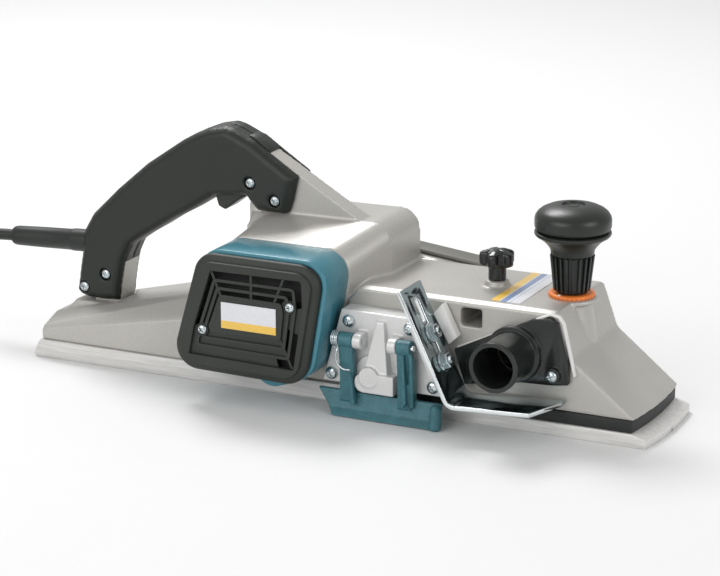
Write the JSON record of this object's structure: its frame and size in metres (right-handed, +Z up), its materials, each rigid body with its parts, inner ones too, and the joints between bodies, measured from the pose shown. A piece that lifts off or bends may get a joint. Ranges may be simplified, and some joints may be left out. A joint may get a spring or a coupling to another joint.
{
  "type": "electric hand planer",
  "caption": "Long-sole hand-held electric planer with closed handle, depth knob, belt-driven cutter, chip outlet, sprung rebate guard and rebate depth stop.",
  "frame": {"origin": "centre of the sole's underside, on the rear sole's face", "axes": "+X forward along the sole, +Y to the belt side, +Z up from the work"},
  "size_m": [0.7422, 0.1556, 0.1694],
  "materials": {
    "cast_grey": "fine-textured satin casting",
    "machined": "fine-milled, lightly polished",
    "bright_steel": "bright zinc plated",
    "chrome_plate": "bright plated strip",
    "dark_steel": "oiled steel",
    "teal_plastic": "satin moulded nylon",
    "black_plastic": "fine-textured moulded nylon",
    "belt_cover_grey": "satin moulded nylon",
    "orange_plastic": "satin moulded",
    "badge": "gloss foil, silver with a yellow band",
    "label": "gloss foil with plain stripes",
    "rubber_black": "soft matt",
    "cord_black": "smooth satin sheath",
    "copper": "enamelled copper",
    "carbon": "pressed carbon",
    "brass_part": "plain",
    "core_steel": "stacked sheet steel"
  },
  "bodies": {
    "planer": {"body_casting": "cast_grey", "rear_sole": "machined", "sole_screws": "bright_steel", "belt_cover": "belt_cover_grey", "belt_cover_screws": "bright_steel", "drive_belt": "rubber_black", "motor_housing": "teal_plastic", "end_grille": "black_plastic", "grille_screws": "bright_steel", "badge_plate": "badge", "stator_core": "core_steel", "field_coils": "copper", "brush_holders": "brass_part", "carbon_brushes": "carbon", "motor_bearings": "bright_steel", "side_plate": "cast_grey", "side_plate_screws": "bright_steel", "cutter_bearings": "bright_steel", "chip_outlet": "black_plastic", "outlet_screw": "bright_steel", "guard_pins": "chrome_plate", "stop_bolts": "bright_steel", "scale_ring": "orange_plastic", "deck_label": "label", "handle_bridge": "cast_grey", "near_shell": "black_plastic", "far_shell": "black_plastic", "handle_screws": "bright_steel", "switch_body": "black_plastic", "trigger_pin": "bright_steel", "strain_relief": "cord_black", "cord_run": "cord_black", "cord_coil": "cord_black", "coil_tie": "rubber_black", "cord_tail": "cord_black", "plug_body": "cord_black", "plug_pins": "brass_part"},
    "shoe": {"front_shoe": "machined", "guide_block": "machined", "shoe_screws": "bright_steel", "shoe_seal": "rubber_black"},
    "depth_knob": {"depth_spindle": "bright_steel", "knob_grip": "black_plastic", "knob_cap": "black_plastic"},
    "bar_clamp": {"star_knob": "black_plastic", "star_stud": "bright_steel"},
    "switch_trigger": {"trigger": "black_plastic"},
    "cutter": {"cutter_drum": "machined", "knives": "bright_steel", "clamp_bars": "dark_steel", "clamp_screws": "dark_steel", "driven_pulley": "dark_steel"},
    "rotor": {"armature": "core_steel", "commutator": "copper", "fan": "black_plastic", "drive_pulley": "dark_steel"},
    "rebate_guard": {"guard": "teal_plastic", "guard_spring": "bright_steel"},
    "rebate_stop": {"depth_stop": "chrome_plate"}
  },
  "joints": [
    {"name": "shoe_slide", "type": "slide", "parent": "planer", "child": "shoe", "axis": [0, 0, 1], "range_m": [0, 0.004], "deforming": ["shoe_seal"]},
    {"name": "depth_knob_turn", "type": "hinge", "parent": "planer", "child": "depth_knob", "pos_m": [0.1544, 0, 0.09], "axis": [0, 0, 1], "range_deg": [-320, 0]},
    {"name": "bar_clamp_turn", "type": "hinge", "parent": "planer", "child": "bar_clamp", "pos_m": [0.1026, 0, 0.09], "axis": [0, 0, 1], "range_deg": [0, 360]},
    {"name": "trigger_pull", "type": "hinge", "parent": "planer", "child": "switch_trigger", "pos_m": [-0.0745, 0, 0.13], "axis": [0, 1, 0], "range_deg": [0, 7], "stiffness_Nm_per_rad": 2, "springref_deg": -2.86},
    {"name": "rotor_spin", "type": "hinge", "parent": "planer", "child": "rotor", "pos_m": [-0.038, 0, 0.062], "axis": [0, 1, 0], "continuous": true},
    {"name": "cutter_spin", "type": "hinge", "parent": "planer", "child": "cutter", "pos_m": [0.041, 0, 0.0285], "axis": [0, 1, 0], "continuous": true},
    {"name": "guard_swing", "type": "hinge", "parent": "planer", "child": "rebate_guard", "pos_m": [0.045, -0.062, 0.0515], "axis": [-1, 0, 0], "range_deg": [0, 70], "stiffness_Nm_per_rad": 0.08, "springref_deg": -28.65},
    {"name": "rebate_stop_slide", "type": "slide", "parent": "planer", "child": "rebate_stop", "axis": [0.4305, 0, -0.9026], "range_m": [0, 0.021]}
  ],
  "couplings": [
    {"joint": "depth_knob_turn", "follows": "shoe_slide", "rad_per_m": -1396.3},
    {"joint": "rotor_spin", "follows": "cutter_spin", "ratio": 1.25}
  ]
}
